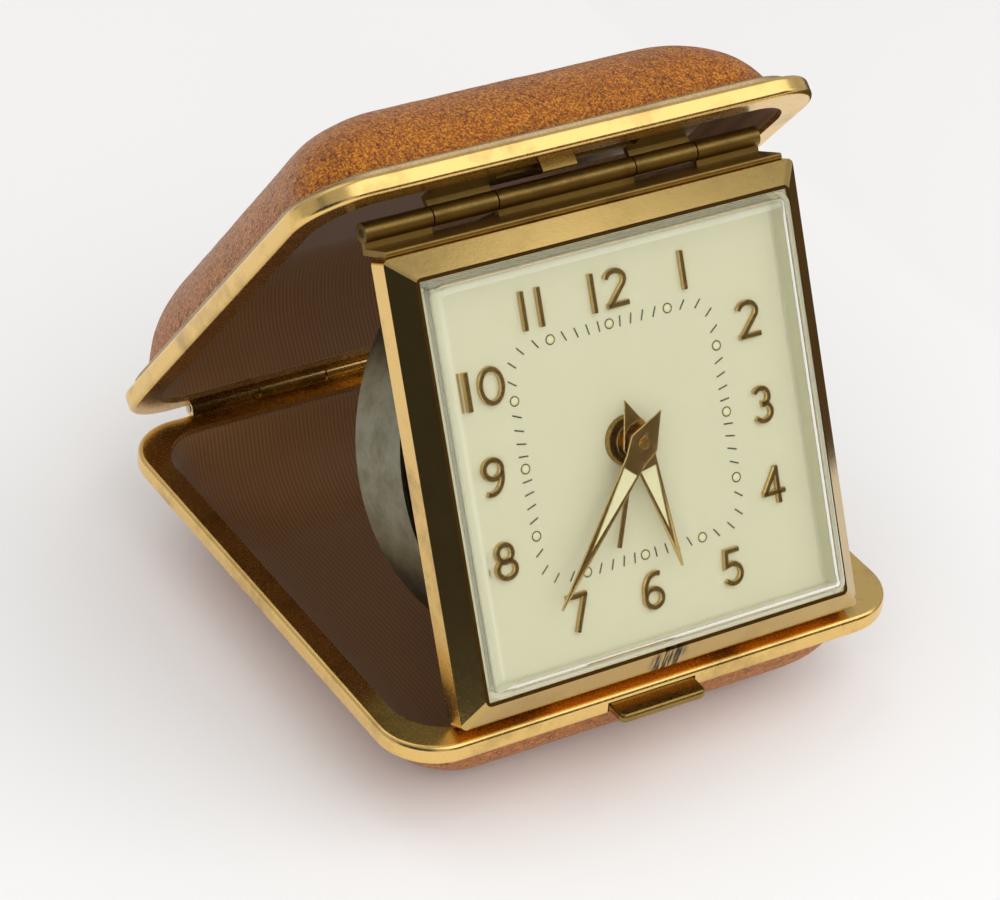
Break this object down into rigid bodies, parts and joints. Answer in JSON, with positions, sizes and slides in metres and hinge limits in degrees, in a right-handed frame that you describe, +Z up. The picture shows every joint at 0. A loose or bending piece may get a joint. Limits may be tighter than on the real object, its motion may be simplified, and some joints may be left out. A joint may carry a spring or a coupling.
{
  "type": "folding travel alarm clock",
  "caption": "Folding travel alarm clock: a hinged leather-covered case whose lid carries a square alarm clock head that stands on the base rim.",
  "frame": {"origin": "middle of the flat underside of the base", "axes": "+Z up, -Y to the front where the dial looks, +X to the viewer's right"},
  "size_m": [0.076, 0.0874, 0.0793],
  "materials": {
    "leather": "grained tan leather",
    "pressed_steel": "pressed sheet steel",
    "lining_cloth": "ribbed brown lining cloth",
    "gilt_brass": "gilt polished brass",
    "worn_brass": "worn brass",
    "steel": "turned steel",
    "movement_brass": "stamped brass",
    "drum_steel": "dull plated steel",
    "black_ring": "black moulded plastic",
    "dial_paint": "cream silvered paint",
    "crystal": "clear moulded acrylic",
    "gilt_hand": "gilt stamped brass"
  },
  "bodies": {
    "base": {"base_leather": "leather", "base_pan": "pressed_steel", "base_rim": "gilt_brass", "base_lining": "lining_cloth", "case_hinge_base_leaf": "gilt_brass", "case_hinge_pin": "steel"},
    "catch": {"catch_button": "gilt_brass"},
    "lid": {"lid_leather": "leather", "lid_pan": "pressed_steel", "lid_rim": "gilt_brass", "lid_lining": "lining_cloth", "case_hinge_lid_leaf": "gilt_brass", "catch_striker": "gilt_brass", "lid_bracket": "worn_brass", "clock_hinge_pin": "steel"},
    "clock_head": {"clock_frame": "gilt_brass", "bezel": "gilt_brass", "dial": "dial_paint", "dial_boss": "worn_brass", "crystal": "crystal", "clock_hinge_leaf": "worn_brass", "front_plate": "movement_brass", "back_plate": "movement_brass", "plate_pillars": "steel", "movement_ring": "black_ring", "drum": "drum_steel", "minute_wheel_post": "steel"},
    "minute_works": {"centre_arbor": "steel", "cannon_pinion": "movement_brass", "minute_hand": "gilt_hand", "hand_set_knob": "worn_brass"},
    "hour_works": {"hour_wheel": "movement_brass", "hour_hand": "gilt_hand"},
    "minute_wheel": {"minute_wheel": "movement_brass"},
    "alarm_works": {"alarm_wheel": "movement_brass", "alarm_hand": "gilt_hand"},
    "alarm_setter": {"alarm_set_arbor": "steel", "alarm_set_knob": "worn_brass"},
    "going_barrel": {"going_barrel": "movement_brass"},
    "time_key": {"time_key": "worn_brass"},
    "third_wheel": {"third_wheel": "movement_brass"},
    "fourth_wheel": {"fourth_wheel": "movement_brass"},
    "escape_wheel": {"escape_wheel": "movement_brass"},
    "pallet_fork": {"pallet_fork": "steel"},
    "balance": {"balance_wheel": "movement_brass"},
    "alarm_barrel": {"alarm_barrel": "movement_brass"},
    "alarm_key": {"alarm_key": "worn_brass"},
    "alarm_hammer": {"alarm_hammer": "steel"}
  },
  "joints": [
    {"name": "lid_hinge", "type": "hinge", "parent": "base", "child": "lid", "pos_m": [0, 0.04095, 0.015], "axis": [1, 0, 0], "range_deg": [-45, 0]},
    {"name": "clock_fold", "type": "hinge", "parent": "lid", "child": "clock_head", "pos_m": [0, -0.00653, 0.07009], "axis": [1, 0, 0], "range_deg": [0, 64.57]},
    {"name": "catch_push", "type": "slide", "parent": "base", "child": "catch", "axis": [0, 1, 0], "range_m": [0, 0.0012], "stiffness_N_per_m": 400},
    {"name": "minute_spin", "type": "hinge", "parent": "clock_head", "child": "minute_works", "pos_m": [0, -0.02627, 0.04342], "axis": [0, 0.9034, -0.4288], "continuous": true},
    {"name": "hour_spin", "type": "hinge", "parent": "clock_head", "child": "hour_works", "pos_m": [0, -0.02627, 0.04342], "axis": [0, 0.9034, -0.4288], "continuous": true},
    {"name": "minute_wheel_spin", "type": "hinge", "parent": "clock_head", "child": "minute_wheel", "pos_m": [0.003, -0.02404, 0.04812], "axis": [0, 0.9034, -0.4288], "continuous": true},
    {"name": "going_barrel_spin", "type": "hinge", "parent": "clock_head", "child": "going_barrel", "pos_m": [-0.00383, -0.03078, 0.03391], "axis": [0, 0.9034, -0.4288], "continuous": true},
    {"name": "third_spin", "type": "hinge", "parent": "clock_head", "child": "third_wheel", "pos_m": [0.00846, -0.02495, 0.0462], "axis": [0, 0.9034, -0.4288], "continuous": true},
    {"name": "alarm_setter_spin", "type": "hinge", "parent": "clock_head", "child": "alarm_setter", "pos_m": [-0.009, -0.02627, 0.04342], "axis": [0, 0.9034, -0.4288], "continuous": true},
    {"name": "alarm_hand_spin", "type": "hinge", "parent": "clock_head", "child": "alarm_works", "pos_m": [0, -0.02627, 0.04342], "axis": [0, 0.9034, -0.4288], "continuous": true},
    {"name": "time_key_spin", "type": "hinge", "parent": "clock_head", "child": "time_key", "pos_m": [-0.00383, -0.03078, 0.03391], "axis": [0, 0.9034, -0.4288], "continuous": true},
    {"name": "alarm_key_spin", "type": "hinge", "parent": "clock_head", "child": "alarm_key", "pos_m": [-0.0135, -0.02327, 0.04975], "axis": [0, 0.9034, -0.4288], "continuous": true},
    {"name": "alarm_barrel_spin", "type": "hinge", "parent": "clock_head", "child": "alarm_barrel", "pos_m": [-0.0135, -0.02327, 0.04975], "axis": [0, 0.9034, -0.4288], "continuous": true},
    {"name": "fourth_spin", "type": "hinge", "parent": "clock_head", "child": "fourth_wheel", "pos_m": [0.00964, -0.02208, 0.05225], "axis": [0, 0.9034, -0.4288], "continuous": true},
    {"name": "escape_spin", "type": "hinge", "parent": "clock_head", "child": "escape_wheel", "pos_m": [0.00444, -0.02079, 0.05496], "axis": [0, 0.9034, -0.4288], "continuous": true},
    {"name": "fork_rock", "type": "hinge", "parent": "clock_head", "child": "pallet_fork", "pos_m": [0.00011, -0.02047, 0.05565], "axis": [0, 0.9034, -0.4288], "range_deg": [-5, 5]},
    {"name": "balance_swing", "type": "hinge", "parent": "clock_head", "child": "balance", "pos_m": [-0.0059, -0.02001, 0.05661], "axis": [0, 0.9034, -0.4288], "range_deg": [-120, 120], "stiffness_Nm_per_rad": 0.00002},
    {"name": "hammer_swing", "type": "hinge", "parent": "clock_head", "child": "alarm_hammer", "pos_m": [0.014, -0.0297, 0.03619], "axis": [0, 0.9034, -0.4288], "range_deg": [-8, 8]}
  ],
  "couplings": [
    {"joint": "hour_spin", "follows": "minute_spin", "ratio": 0.083333},
    {"joint": "minute_wheel_spin", "follows": "minute_spin", "ratio": -0.33333},
    {"joint": "going_barrel_spin", "follows": "minute_spin", "ratio": -0.16667},
    {"joint": "third_spin", "follows": "minute_spin", "ratio": -8},
    {"joint": "alarm_hand_spin", "follows": "alarm_setter_spin", "ratio": -0.25}
  ]
}
